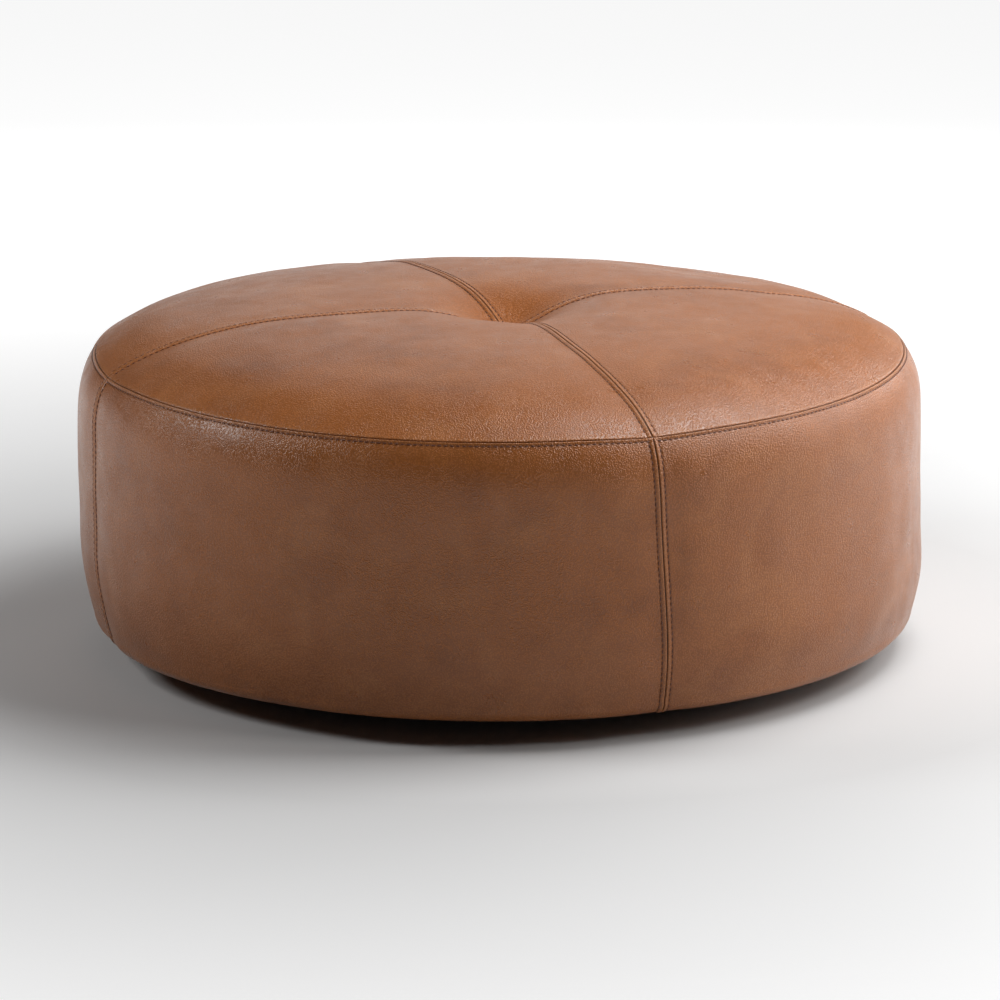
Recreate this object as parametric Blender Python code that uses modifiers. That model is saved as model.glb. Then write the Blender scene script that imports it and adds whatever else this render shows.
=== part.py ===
"""A low round leather ottoman, as the pieces that an upholsterer builds it from.

A deck ring and a base ring of plywood stand apart on six posts, with a bent skirt round them. Woven
webbing crosses the deck ring and carries the seat foam. Foam and batting wrap the side, and four top
panels and four side panels of leather close over them. A twine pulls the middle of the top down to a
batten under the webbing. Six plastic feet are screwed through the dust cover into the base ring.

The top seams run along X and Y, and the side seams stand in line with them. The floor is at z = 0.
"""

import math

import bpy

MM = 0.001
TINY = 1e-9

# The finished outside.
DIAMETER = 914.4 * MM
HEIGHT = 375.9 * MM
RIM_RADIUS = 438.0 * MM  # the seam between the top and the side
RIM_HEIGHT = 327.6 * MM
WAIST_HEIGHT = 240.0 * MM  # the wall starts to lean in above this
WALL_FOOT = 140.0 * MM  # and below this
EDGE_RADIUS = 14.0 * MM  # the rounded bottom edge
EDGE_INSET = 14.0 * MM  # how far the wall has leant in where that edge begins
UNDERSIDE = 28.0 * MM
DIMPLE_DEPTH = 28.0 * MM
DIMPLE_REACH = 83.0 * MM
BROAD_CROWN = 0.43  # the share of the crown that is a broad dome; the rest falls off at the rim

# Sheet goods and clearances.
LEATHER = 1.4 * MM
LEATHER_ROOM = 2.2 * MM  # what the leather takes, measured straight down or straight in
TOP_BATTING = 8.0 * MM
SIDE_BATTING = 6.0 * MM
GAP = 0.3 * MM
TURN_IN_RADIUS = 385.0 * MM  # the side leather is turned in under the base as far as this
DUST_COVER = 0.5 * MM

# The frame.
RING_RADIUS = 410.0 * MM
BASE_HOLE = 230.0 * MM
DECK_HOLE = 300.0 * MM
BASE_BOTTOM = UNDERSIDE + LEATHER + GAP
BASE_THICKNESS = 15.0 * MM
DECK_TOP = 268.0 * MM
DECK_THICKNESS = 18.0 * MM
SKIRT = 3.0 * MM
POST_WIDTH = 45.0 * MM
POST_CIRCLE = 372.0 * MM
POST_COUNT = 6

# Webbing, and the twine that pulls the middle down.
STRAP_WIDTH = 60.0 * MM
STRAP_THICKNESS = 1.6 * MM
STRAP_PITCH = 110.0 * MM
STRAP_WAVE = 1.7 * MM
STRAP_REACH = 350.0 * MM
TUFT_HOLE = 14.0 * MM
TWINE = 2.4 * MM
TWINE_LOOP = 7.0 * MM
BATTEN = (160.0 * MM, 10.0 * MM, 12.0 * MM)

# Feet and screws.
FOOT_CIRCLE = 290.0 * MM
FOOT_RADIUS = 24.0 * MM
FOOT_SEAT = 14.0 * MM  # the height of the shoulder that the foot's screw pulls on
COUNTERBORE = 6.0 * MM
SHANK = 2.1 * MM
SCREW_HEAD = 4.5 * MM
POST_SCREW = 50.0 * MM
FOOT_SCREW = 25.0 * MM
COUNTERSINK = 3.0 * MM  # the depth of the cone under a post screw's head

SEGMENTS = 48
QUARTER = math.pi / 2
FULL_TURN = 2 * math.pi
SCREW_SEGMENTS = 10
FOOT_SEGMENTS = 20

COLLECTION = bpy.data.collections.new("leather_ottoman")
POST_HOLES = bpy.data.collections.new("post_screw_holes")
FOOT_HOLES = bpy.data.collections.new("foot_screw_holes")


def side_radius(z):
    """The leather's outer radius at a height on the wall."""
    top, foot = RIM_HEIGHT - WAIST_HEIGHT, WALL_FOOT - (UNDERSIDE + EDGE_RADIUS)
    above = max(0.0, (z - WAIST_HEIGHT) / top)
    below = max(0.0, (WALL_FOOT - z) / foot)
    lean = (DIAMETER / 2 - RIM_RADIUS) * above**4 + EDGE_INSET * below**2
    return DIAMETER / 2 - GAP / 2 - lean


def crown_shape(r):
    """The crown without its dimple, from 1 in the middle to 0 at the rim."""
    u = r / RIM_RADIUS
    return BROAD_CROWN * (1 - u**2) + (1 - BROAD_CROWN) * (1 - u**8)


def dimple(r):
    return DIMPLE_DEPTH * math.exp(-((r / DIMPLE_REACH) ** 1.2))


def crown_rise():
    """The rise of the undimpled crown that brings the highest ring of the top to HEIGHT."""
    rise = HEIGHT - RIM_HEIGHT
    for _ in range(20):
        highest = max(rise * crown_shape(r * MM) - dimple(r * MM) for r in range(100, 300, 5))
        rise += HEIGHT - RIM_HEIGHT - highest
    return rise


CROWN_RISE = crown_rise()


def crown_height(r):
    """The leather's outer height at a radius on the top."""
    return RIM_HEIGHT + CROWN_RISE * crown_shape(r) - dimple(r)


def steps(start, end, count):
    return [start + (end - start) * i / count for i in range(count + 1)]


# Nested layers share these stations, so their facets stay parallel and never cross.
CORNER_HEIGHT = UNDERSIDE + EDGE_RADIUS
WALL_STATIONS = steps(RIM_HEIGHT, WAIST_HEIGHT, 4) + steps(WALL_FOOT, CORNER_HEIGHT, 3)
TOP_STATIONS = steps(0.0, 160 * MM, 5) + steps(160 * MM, RIM_RADIUS, 6)[1:]


def along(curve, stations, start, end):
    """(station, value) pairs of a faceted curve from start to end, both of which may fall between stations."""
    forward = end > start
    inside = [x for x in stations if min(start, end) < x < max(start, end)]
    pairs = []
    for x in [start, *sorted(inside, reverse=not forward), end]:
        low = max(s for s in stations if s <= x + TINY)
        high = min(s for s in stations if s >= x - TINY)
        share = (x - low) / (high - low) if high > low + TINY else 0.0
        pairs.append((x, curve(low) * (1 - share) + curve(high) * share))
    return pairs


def wall(high, low, inset=0.0):
    """Outline points down the wall, this far inside the leather's outer face."""
    return [(r - inset, z) for z, r in along(side_radius, WALL_STATIONS, high, low)]


def crown(inner, outer, depth=0.0):
    """Outline points out across the top, this far below the leather's outer face."""
    return [(r, z - depth) for r, z in along(crown_height, TOP_STATIONS, inner, outer)]


def material(name, colour, roughness, metallic=0.0):
    made = bpy.data.materials.new(name)
    made.use_nodes = True
    shader = made.node_tree.nodes["Principled BSDF"]
    shader.inputs["Base Color"].default_value = (*colour, 1.0)
    shader.inputs["Roughness"].default_value = roughness
    shader.inputs["Metallic"].default_value = metallic
    return made


def finish(obj, made, collection=COLLECTION):
    """Names what an operator or a mesh made as one sub-part, in its collection."""
    for other in list(obj.users_collection):
        other.objects.unlink(obj)
    collection.objects.link(obj)
    if made:
        obj.data.materials.append(made)
    else:
        obj.hide_render = True
        obj.display_type = "WIRE"
    return obj


def turned(name, profile, made, closed=False, sweep=FULL_TURN, segments=SEGMENTS, collection=COLLECTION):
    """A profile of (radius, height) points turned about Z. It runs down its outer side."""
    mesh = bpy.data.meshes.new(name)
    edges = [(i, i + 1) for i in range(len(profile) - 1)]
    if closed:
        edges.append((len(profile) - 1, 0))
    mesh.from_pydata([(r, 0.0, z) for r, z in profile], edges, [])
    obj = finish(bpy.data.objects.new(name, mesh), made, collection)
    screw = obj.modifiers.new("Turn", "SCREW")
    screw.angle = sweep
    screw.steps = screw.render_steps = segments
    screw.use_merge_vertices = sweep == FULL_TURN
    screw.merge_threshold = 0.01 * MM
    screw.use_smooth_shade = True
    return obj


def shell(obj, thickness):
    """Thickness inward from an open surface."""
    solidify = obj.modifiers.new("Thickness", "SOLIDIFY")
    solidify.thickness = thickness
    solidify.offset = -1.0


def stand(obj, radius, angle, height=0.0):
    """Places a piece at a polar position and turns it to face the axis."""
    obj.location = (radius * math.cos(angle), radius * math.sin(angle), height)
    obj.rotation_euler.z = angle
    return obj


def cut(obj, holes):
    boolean = obj.modifiers.new("Holes", "BOOLEAN")
    boolean.operand_type = "COLLECTION"
    boolean.collection = holes
    boolean.solver = "EXACT"


def quarters(name, profile, made):
    """Four panels, one in each quadrant, half a gap off both of its seams."""
    for i in range(4):
        turn = i * QUARTER
        panel = turned(f"{name}_{i + 1}", profile, made, sweep=QUARTER, segments=SEGMENTS // 4)
        shell(panel, LEATHER)
        panel.rotation_euler.z = turn
        diagonal = turn + QUARTER / 2
        shift = GAP / math.sqrt(2)
        panel.location = (shift * math.cos(diagonal), shift * math.sin(diagonal), 0.0)


def make_leather(leather):
    quarters("top_panel", crown(2 * MM, RIM_RADIUS - 0.5 * MM), leather)

    side = wall(RIM_HEIGHT - 0.7 * MM, CORNER_HEIGHT)
    corner = side[-1][0] - EDGE_RADIUS
    for angle in steps(0.0, QUARTER, 3)[1:]:
        out, down = EDGE_RADIUS * math.cos(angle), EDGE_RADIUS * math.sin(angle)
        side.append((corner + out, CORNER_HEIGHT - down))
    side.append((TURN_IN_RADIUS, UNDERSIDE))
    quarters("side_panel", side, leather)


def make_padding(batting, foam):
    edge = RIM_RADIUS - 7 * MM
    under = LEATHER_ROOM + TOP_BATTING
    cover = crown(TUFT_HOLE, edge, LEATHER_ROOM) + crown(edge, TUFT_HOLE, under)
    turned("top_batting", cover, batting, closed=True)

    inset = LEATHER_ROOM + SIDE_BATTING
    foam_bottom = DECK_TOP + 4 * MM
    seat = crown(TUFT_HOLE, edge, under + GAP) + wall(RIM_HEIGHT - 15 * MM, foam_bottom, inset + GAP)
    seat.append((TUFT_HOLE, foam_bottom))
    turned("seat_foam", seat, foam, closed=True)

    high, low = RIM_HEIGHT - 10 * MM, CORNER_HEIGHT + 2 * MM
    turned("side_batting", wall(high, low, LEATHER_ROOM) + wall(low, high, inset), batting, closed=True)

    inner = RING_RADIUS + SKIRT + 5 * GAP
    belt = wall(foam_bottom - GAP, low, inset + GAP)
    belt += [(RING_RADIUS + 20 * MM, BASE_BOTTOM + GAP), (inner, BASE_BOTTOM + GAP), (inner, foam_bottom - GAP)]
    turned("side_foam", belt, foam, closed=True)


def ring(name, outer, inner, bottom, top, made):
    return turned(name, [(outer, top), (outer, bottom), (inner, bottom), (inner, top)], made, closed=True)


def make_frame(plywood, timber, board):
    deck = ring("deck_ring", RING_RADIUS, DECK_HOLE, DECK_TOP - DECK_THICKNESS, DECK_TOP, plywood)
    cut(deck, POST_HOLES)
    base_top = BASE_BOTTOM + BASE_THICKNESS
    base = ring("base_ring", RING_RADIUS, BASE_HOLE, BASE_BOTTOM, base_top, plywood)
    cut(base, POST_HOLES)
    cut(base, FOOT_HOLES)

    tall = DECK_TOP - DECK_THICKNESS - base_top - 2 * GAP
    for i in range(POST_COUNT):
        bpy.ops.mesh.primitive_cube_add(size=1)
        post = finish(bpy.context.object, timber)
        post.name = f"post_{i + 1}"
        post.scale = (POST_WIDTH, POST_WIDTH, tall)
        stand(post, POST_CIRCLE, i * FULL_TURN / POST_COUNT, base_top + GAP + tall / 2)
        cut(post, POST_HOLES)

    outer = RING_RADIUS + SKIRT + 3 * GAP
    wall = [(outer, DECK_TOP), (outer, BASE_BOTTOM)]
    for i, side in enumerate((1, -1)):
        half = turned(f"skirt_{i + 1}", wall, board, sweep=math.pi, segments=SEGMENTS // 2)
        shell(half, SKIRT)
        half.rotation_euler.z = i * math.pi
        half.location.y = side * GAP


def screw_outline(length, seat, clearance=0.0):
    """Head down, from the tip on the axis to the head, with a cone of this depth under the head."""
    shank, head = SHANK + clearance, SCREW_HEAD + clearance
    points = [(0.0, length + clearance), (shank, length - 2 * shank), (shank, seat), (head, 0.0)]
    below = -0.5 * GAP if seat else -2.5 * MM
    if clearance:
        below -= 0.5 * GAP
    return points + [(head, below), (0.0, below)]


def make_screw(name, length, seat, made, radius, angle, height, up, holes):
    """A screw and the hole that takes it, which is the screw's own outline and a clearance."""
    for clearance in (0.0, GAP):
        outline = screw_outline(length, seat, clearance)
        collection = holes if clearance else COLLECTION
        label = f"{name}_hole" if clearance else name
        finish_of = None if clearance else made
        piece = turned(label, outline, finish_of, segments=SCREW_SEGMENTS, collection=collection)
        stand(piece, radius, angle, height)
        piece.rotation_euler.x = 0.0 if up else math.pi


def make_screws(steel):
    for i in range(POST_COUNT):
        angle = i * FULL_TURN / POST_COUNT
        post = (POST_SCREW, COUNTERSINK, steel, POST_CIRCLE, angle)
        make_screw(f"base_screw_{i + 1}", *post, BASE_BOTTOM + 0.5 * GAP, True, POST_HOLES)
        make_screw(f"deck_screw_{i + 1}", *post, DECK_TOP - 0.5 * GAP, False, POST_HOLES)
        angle += math.pi / POST_COUNT
        foot = (FOOT_SCREW, 0.0, steel, FOOT_CIRCLE, angle)
        make_screw(f"foot_screw_{i + 1}", *foot, FOOT_SEAT, True, FOOT_HOLES)


def make_underside(plastic, cambric):
    bpy.ops.mesh.primitive_cylinder_add(
        vertices=SEGMENTS,
        radius=TURN_IN_RADIUS - 2 * GAP,
        depth=DUST_COVER,
        location=(0, 0, BASE_BOTTOM - GAP - DUST_COVER / 2),
    )
    cover = finish(bpy.context.object, cambric)
    cover.name = "dust_cover"
    cut(cover, FOOT_HOLES)

    top = BASE_BOTTOM - 2 * GAP - DUST_COVER
    bore = SHANK + GAP
    outline = [(FOOT_RADIUS, top), (FOOT_RADIUS, top - 4 * MM)]
    outline += [(FOOT_RADIUS - 2 * MM, 2 * MM), (FOOT_RADIUS - 4 * MM, 0.0), (COUNTERBORE, 0.0)]
    outline += [(COUNTERBORE, FOOT_SEAT + GAP), (bore, FOOT_SEAT + GAP), (bore, top)]
    for i in range(POST_COUNT):
        foot = turned(f"foot_{i + 1}", outline, plastic, closed=True, segments=FOOT_SEGMENTS)
        stand(foot, FOOT_CIRCLE, (i + 0.5) * FULL_TURN / POST_COUNT)


def weave(along, sign):
    """How far a strap is above its rest plane: over one crossing strap and under the next."""
    if abs(along) > 2 * STRAP_PITCH:
        return 0.0
    return sign * STRAP_WAVE * math.cos(math.pi * (along / STRAP_PITCH - 0.5))


def make_webbing(jute):
    for way, turn in (("long", 0.0), ("cross", QUARTER)):
        for i in range(4):
            across = (i - 1.5) * STRAP_PITCH
            reach = math.sqrt(STRAP_REACH**2 - (abs(across) + STRAP_WIDTH / 2) ** 2)
            bpy.ops.mesh.primitive_grid_add(x_subdivisions=24, y_subdivisions=1, size=1)
            strap = finish(bpy.context.object, jute)
            strap.name = f"{way}_strap_{i + 1}"
            sign = (-1) ** i
            for vertex in strap.data.vertices:
                vertex.co.x *= 2 * reach
                vertex.co.y *= STRAP_WIDTH
                vertex.co.z = weave(vertex.co.x, sign)
            strap.rotation_euler.z = turn
            strap.location = (-across * math.sin(turn), across * math.cos(turn), DECK_TOP + GAP)
            strap.location.z += STRAP_THICKNESS
            shell(strap, STRAP_THICKNESS)


def make_tufting(timber, twine, tape):
    low = DECK_TOP + GAP - STRAP_WAVE
    batten_top = low - GAP
    bpy.ops.mesh.primitive_cube_add(size=1, location=(0, 0, batten_top - BATTEN[2] / 2))
    batten = finish(bpy.context.object, timber)
    batten.name = "tuft_batten"
    batten.scale = BATTEN

    loop_top = crown_height(0.0) - 15 * MM
    loop_bottom = batten_top - BATTEN[2]
    points = []
    for centre, start in ((loop_top, 0.0), (loop_bottom, math.pi)):
        for angle in steps(start, start + math.pi, 8):
            points.append((0.0, TWINE_LOOP * math.cos(angle), centre + TWINE_LOOP * math.sin(angle)))
    curve = bpy.data.curves.new("tufting_twine", "CURVE")
    curve.dimensions = "3D"
    curve.bevel_depth = TWINE / 2
    curve.bevel_resolution = 2
    spline = curve.splines.new("POLY")
    spline.points.add(len(points) - 1)
    for point, place in zip(spline.points, points):
        point.co = (*place, 1.0)
    spline.use_cyclic_u = True
    finish(bpy.data.objects.new("tufting_twine", curve), twine)

    sling = loop_top + 3 * MM
    ear = crown_height(0.0) - LEATHER_ROOM - GAP
    half = [(3 * MM, sling), (3 * MM, ear - 2 * MM), (4 * MM, ear), (TUFT_HOLE - 1 * MM, ear)]
    route = [(-x, z) for x, z in reversed(half)] + half
    mesh = bpy.data.meshes.new("pull_tab")
    width = 4 * MM
    mesh.from_pydata(
        [(x, y, z) for x, z in route for y in (-width, width)],
        [],
        [(2 * i, 2 * i + 2, 2 * i + 3, 2 * i + 1) for i in range(len(route) - 1)],
    )
    tab = finish(bpy.data.objects.new("pull_tab", mesh), tape)
    shell(tab, 1 * MM)


def main():
    for obj in list(bpy.data.objects):
        bpy.data.objects.remove(obj)
    scene = bpy.context.scene.collection
    cutters = bpy.data.collections.new("cutters")
    for child in (COLLECTION, cutters):
        scene.children.link(child)
    for child in (POST_HOLES, FOOT_HOLES):
        cutters.children.link(child)

    plywood = material("plywood", (0.55, 0.38, 0.22), 0.7)
    timber = material("timber", (0.6, 0.42, 0.24), 0.75)
    steel = material("zinc_steel", (0.6, 0.6, 0.6), 0.35, 1.0)
    make_leather(material("leather", (0.33, 0.12, 0.055), 0.42))
    batting = material("batting", (0.85, 0.85, 0.83), 0.95)
    make_padding(batting, material("foam", (0.8, 0.75, 0.6), 0.9))
    make_frame(plywood, timber, material("skirt_board", (0.4, 0.27, 0.16), 0.8))
    make_screws(steel)
    plastic = material("black_plastic", (0.02, 0.02, 0.02), 0.5)
    make_underside(plastic, material("cambric", (0.03, 0.03, 0.03), 0.95))
    make_webbing(material("jute", (0.45, 0.33, 0.2), 0.95))
    twine = material("nylon_twine", (0.7, 0.65, 0.55), 0.6)
    make_tufting(timber, twine, material("cotton_tape", (0.75, 0.7, 0.6), 0.9))


main()
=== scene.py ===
"""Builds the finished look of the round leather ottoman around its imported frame.

The leather panels, their seams and the thread are surfaces worked out here on grids. The frame's own
pieces stay where the frame has them, and get their finishes here.
"""

import math

import bpy
import numpy as np
from bpy.props import FloatProperty, FloatVectorProperty, PointerProperty
from mathutils import Matrix, Vector


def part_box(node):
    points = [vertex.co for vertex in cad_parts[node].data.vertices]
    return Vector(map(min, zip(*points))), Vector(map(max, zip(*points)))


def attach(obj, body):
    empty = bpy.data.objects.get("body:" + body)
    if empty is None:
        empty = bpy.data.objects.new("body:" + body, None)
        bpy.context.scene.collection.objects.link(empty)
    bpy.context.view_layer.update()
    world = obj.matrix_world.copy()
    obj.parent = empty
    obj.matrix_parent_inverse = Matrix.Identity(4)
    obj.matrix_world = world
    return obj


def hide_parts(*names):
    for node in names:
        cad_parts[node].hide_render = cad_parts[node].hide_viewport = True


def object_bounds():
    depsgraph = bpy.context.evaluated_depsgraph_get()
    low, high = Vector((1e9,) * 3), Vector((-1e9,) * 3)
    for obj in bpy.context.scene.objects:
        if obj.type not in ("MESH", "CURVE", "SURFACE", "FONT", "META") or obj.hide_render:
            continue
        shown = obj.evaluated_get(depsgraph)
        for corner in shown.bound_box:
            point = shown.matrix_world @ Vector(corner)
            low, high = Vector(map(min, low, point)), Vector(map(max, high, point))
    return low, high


bl_info = {
    "name": "Round Leather Ottoman",
    "version": (1, 0, 0),
    "blender": (4, 5, 0),
    "location": "View3D > Sidebar > Ottoman",
    "description": "Builds the leather, seams, padding and studio of a round ottoman around its frame",
    "category": "Object",
}

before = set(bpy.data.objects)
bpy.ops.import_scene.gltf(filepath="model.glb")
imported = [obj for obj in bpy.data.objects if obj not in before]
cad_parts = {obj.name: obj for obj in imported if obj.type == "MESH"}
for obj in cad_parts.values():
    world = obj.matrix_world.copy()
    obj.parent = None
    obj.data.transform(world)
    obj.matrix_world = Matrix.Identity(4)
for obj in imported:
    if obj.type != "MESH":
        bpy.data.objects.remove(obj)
CAD_BOX = [list(corner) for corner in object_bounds()]

MM = 0.001
BODY = "root"
QUARTER = math.pi / 2
FULL_TURN = 2 * math.pi

# Sizes read from the frame.
OUTER_RADIUS = CAD_BOX[1][0] - 0.15 * MM
RIM_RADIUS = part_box("top_panel_1")[1].x + 0.5 * MM
RIM_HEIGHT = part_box("side_panel_1")[1].z + 0.7 * MM
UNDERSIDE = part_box("side_panel_1")[0].z

# The side wall's outline, as the frame has it.
WAIST_HEIGHT = 240 * MM
WALL_FOOT = 140 * MM
EDGE_RADIUS = 14 * MM
EDGE_INSET = 14 * MM
TURN_IN_RADIUS = 385 * MM

# The top's crown.
BROAD_CROWN = 0.43
CROWN_RISE = 54.4 * MM
DIMPLE_DEPTH = 36 * MM
DIMPLE_REACH = 66 * MM
LEATHER = 1.3 * MM
BATTING = 8 * MM

# The frame that carries them.
DECK_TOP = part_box("deck_ring")[1].z
RING_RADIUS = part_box("base_ring")[1].x

# Directions of the four seams, from +X towards +Y, as they were sewn: two are a little off square.
SEAM_ANGLES = np.radians([0.0, 93.0, 175.7, 269.5, 360.0])
SEAM_BOWS = np.radians([0.0, 0.0, 0.0, -0.5, 0.0])
SEAM_LEANS = np.radians([0.0, 0.0, 0.0, 1.6, 0.0])  # how far each has turned by the foot of the side
SEAM_TUG = 2.2 * MM  # how far each side seam tugs the rim down
TUFT_SHIFT = np.array([7.4, -2.9, 0.0]) * MM  # how far off centre the tuft was pulled down
SLACK_BACK = math.radians(53.4)  # the direction in which the top is packed least
RIM_SAG = 5 * MM  # how much lower the rim is there
BACK_HOLLOW = 9 * MM  # and how much flatter the crown
FULLER_FOOT = 5.0 * MM  # extra fullness at the foot of the wall, on one side
FULLER_SIDE = math.radians(-21.6)  # the direction of that side
TUFT_SINK = 11 * MM  # how much further the stuffed top lets the tuft down than the frame's plain dome

# How the leather lies: hollows along the seams, slow swelling, and the pressed-open seams themselves.
SEAM_HOLLOW = 26 * MM
BROAD_SWELL, FINE_SWELL = 170 * MM, 60 * MM
LIP_CREST = 1.7 * MM
CREASE_DEPTH, CREASE_WIDTH = 1.7 * MM, 0.55 * MM
GROOVE_DEPTH, GROOVE_WIDTH = 0.45 * MM, 1.0 * MM
PIT_WIDTH = 1.1 * MM
RIM_STITCH = 4.4 * MM  # how far below the rim its one line of stitches runs
TIP = 24 * MM  # the seams narrow towards the tuft inside this radius
TUCK = (3 * MM, 6 * MM)  # how far the last two rows of a panel are tucked in
TUCK_ALONG = (0.64, 0.77)  # the direction of that tuck, inward and down
PANEL_COLUMNS = 118  # evenly spaced columns between the close ones beside a panel's two seams

# Clearances inside: the leather's own room, and the foam behind the batting.
LEATHER_ROOM = 2.1 * MM
FOAM_ROOM = 8.6 * MM
BELT_FOOT = 30.1 * MM

# Webbing.
STRAP_WIDTH = 60 * MM
STRAP_PITCH = 110 * MM
STRAP_WAVE = 1.7 * MM

# The studio. Softboxes: name, direction (right, away, up as the camera sees it), distance, width and watts.
SOFTBOXES = (
    ("overhead_right", (0.5, 0.0, 1.0), 1.8, 1.0, 28.0),
    ("right_middle", (0.9, 0.1, 0.75), 2.0, 1.2, 12.0),
    ("right_low", (1.0, 0.0, 0.3), 1.8, 1.0, 9.0),
    ("right_back", (0.75, 0.7, 0.35), 2.2, 0.9, 10.0),
    ("right_front", (0.8, -0.5, 0.6), 2.4, 0.6, 10.5),
    ("left_shoulder", (-0.88, -0.06, 0.53), 2.3, 0.7, 18.0),
    ("back_low", (0.0, 1.0, 0.4), 2.6, 1.6, 5.5),
)
SOFTBOX_AIM = Vector((0, 0, 0.25))
WORLD_STRENGTH = 0.02
FLOOR_TONE = (0.6, 0.6, 0.6)
FLOOR_GLOW = 0.88
FLOOR_GLOW_REACH = (0.65, 2.0)
FLOOR_HALF = 30.0  # metres from the middle to each side
CAMERA_AZIMUTH = math.radians(-21.6)
CAMERA_ELEVATION = math.radians(13.9)
CAMERA_DISTANCE = 8.587
CAMERA_CENTRE = Vector((0, 0, 0.188))
CAMERA_AIM = Vector((0, 0, 0.1568))
CAMERA_ROLL = math.radians(0.18)
CAMERA_LENS = 284.1


class OttomanSettings(bpy.types.PropertyGroup):
    """Sizes and colours that a user would change."""

    stitch_pitch: FloatProperty(
        name="Stitch Pitch",
        description="Length of thread and gap together",
        default=6.4 * MM,
        unit="LENGTH",
    )
    stitch_length: FloatProperty(
        name="Stitch Length",
        description="Visible length of one stitch",
        default=4.6 * MM,
        unit="LENGTH",
    )
    stitch_offset: FloatProperty(
        name="Stitch Offset",
        description="Distance from a seam to its stitch line",
        default=5.7 * MM,
        unit="LENGTH",
    )
    thread_width: FloatProperty(
        name="Thread Width",
        description="Width of the sewing thread",
        default=1.2 * MM,
        unit="LENGTH",
    )
    lip_height: FloatProperty(
        name="Lip Height",
        description="How far the turned seam edges stand up",
        default=1.15 * MM,
        unit="LENGTH",
    )
    valley_depth: FloatProperty(
        name="Seam Valley",
        description="How far the seams pull the padding in",
        default=2.2 * MM,
        unit="LENGTH",
    )
    grain_size: FloatProperty(
        name="Grain Size",
        description="Width of one pebble of the leather's grain",
        default=1.8 * MM,
        unit="LENGTH",
    )
    leather_colour: FloatVectorProperty(
        name="Leather",
        description="Main colour of the leather",
        default=(0.335, 0.106, 0.022),
        subtype="COLOR",
    )
    leather_dark: FloatVectorProperty(
        name="Leather Shade",
        description="Darker patches of the leather",
        default=(0.245, 0.074, 0.015),
        subtype="COLOR",
    )
    # Paler leather: the random paler patches, and the painted highlight on the seam lips and along the rim.
    leather_pale_and_highlight: FloatVectorProperty(
        name="Leather Pale and Highlight",
        description="Paler stretched leather",
        default=(0.46, 0.182, 0.060),
        subtype="COLOR",
    )
    thread_colour: FloatVectorProperty(
        name="Thread",
        description="Colour of the thread",
        default=(0.068, 0.019, 0.009),
        subtype="COLOR",
    )
    light_level: FloatProperty(name="Light Level", description="Brightness of all the softboxes", default=1.0)


# ---------------- surfaces


def waves(points, size, seed, count=24):
    """Smooth uneven swelling from -1 to 1: plane waves about size long, summed over random directions."""
    rng = np.random.default_rng(seed)
    directions = rng.normal(size=(count, 3))
    directions /= np.linalg.norm(directions, axis=1)[:, None]
    numbers = FULL_TURN / (size * rng.uniform(0.7, 1.6, count))
    phases = rng.uniform(0, FULL_TURN, count)
    total = np.zeros(points.shape[:-1])
    for direction, number, phase in zip(directions, numbers, phases):
        total += np.sin(points @ direction * number + phase)
    return total / math.sqrt(count / 2) / 1.6


def smooth(x):
    """0 below 0, 1 above 1 and an even ramp between."""
    x = np.clip(x, 0.0, 1.0)
    return x * x * (3 - 2 * x)


def ridge(x, centre, width):
    """A smooth ridge: 1 at its centre, and exp(-(distance / width) squared) away from it."""
    return np.exp(-(((x - centre) / width) ** 2))


def half_turn(angle):
    """An angle brought between minus and plus half a turn."""
    return (angle + math.pi) % FULL_TURN - math.pi


def dimple(r):
    """Depth of the pulled-down middle: its full depth times exp(-(r / reach) to the power 1.45)."""
    return DIMPLE_DEPTH * np.exp(-((r / DIMPLE_REACH) ** 1.45))


def crown_shape(r):
    """The crown from 1 in the middle to 0 at the rim: part a broad dome, part flat with a quick fall."""
    u = r / RIM_RADIUS
    return BROAD_CROWN * (1 - u**2) + (1 - BROAD_CROWN) * (1 - u**8)


def seam_wander(distance, seam):
    """How far a seam strays sideways from its straight line, as sewing does."""
    return 0.7 * MM * np.sin(distance / (57 * MM) + 1.7 * seam) * smooth(distance / (60 * MM))


def seam_angle(k, r):
    """The direction of seam k at a radius, with its bow and its wander."""
    bow = SEAM_BOWS[k] * np.sin(math.pi * np.clip(r / RIM_RADIUS, 0, 1))
    return SEAM_ANGLES[k] + bow + seam_wander(r, k % 4) / np.maximum(r, 5 * MM)


def side_seam(k, down):
    """The direction of seam k at a distance down the side, with its lean."""
    return seam_angle(k, OUTER_RADIUS) + SEAM_LEANS[k] * smooth(down / (300 * MM))


def slack_side(theta):
    """1 in the direction where the padding is slackest, easing to 0 a quarter turn either side."""
    return np.clip(np.cos(0.9 * half_turn(theta - SLACK_BACK)), 0, 1) ** 2


def tug(theta):
    """How far the side seams pull the rim down, in a soft dip at each."""
    dip = np.zeros(np.shape(theta))
    for angle in SEAM_ANGLES[:4]:
        dip = dip + ridge(half_turn(theta - angle) * OUTER_RADIUS, 0, 55 * MM)
    return SEAM_TUG * dip


def packing(theta, r):
    """How much less or more the top is stuffed than an even dome: hollow on one side, fuller on the other."""
    hollow = smooth((r - 225 * MM) / (100 * MM)) * smooth((RIM_RADIUS - r) / (72 * MM))
    full = np.clip(np.cos(theta - SEAM_ANGLES[2]), 0, 1) ** 2 * ridge(r, 235 * MM, 70 * MM)
    sunk = RIM_SAG * smooth((r - 150 * MM) / (RIM_RADIUS - 150 * MM)) + BACK_HOLLOW * hollow
    pulled = tug(theta) * smooth((r - 250 * MM) / (RIM_RADIUS - 250 * MM))
    return 2.5 * MM * full - slack_side(theta) * sunk - pulled


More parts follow.
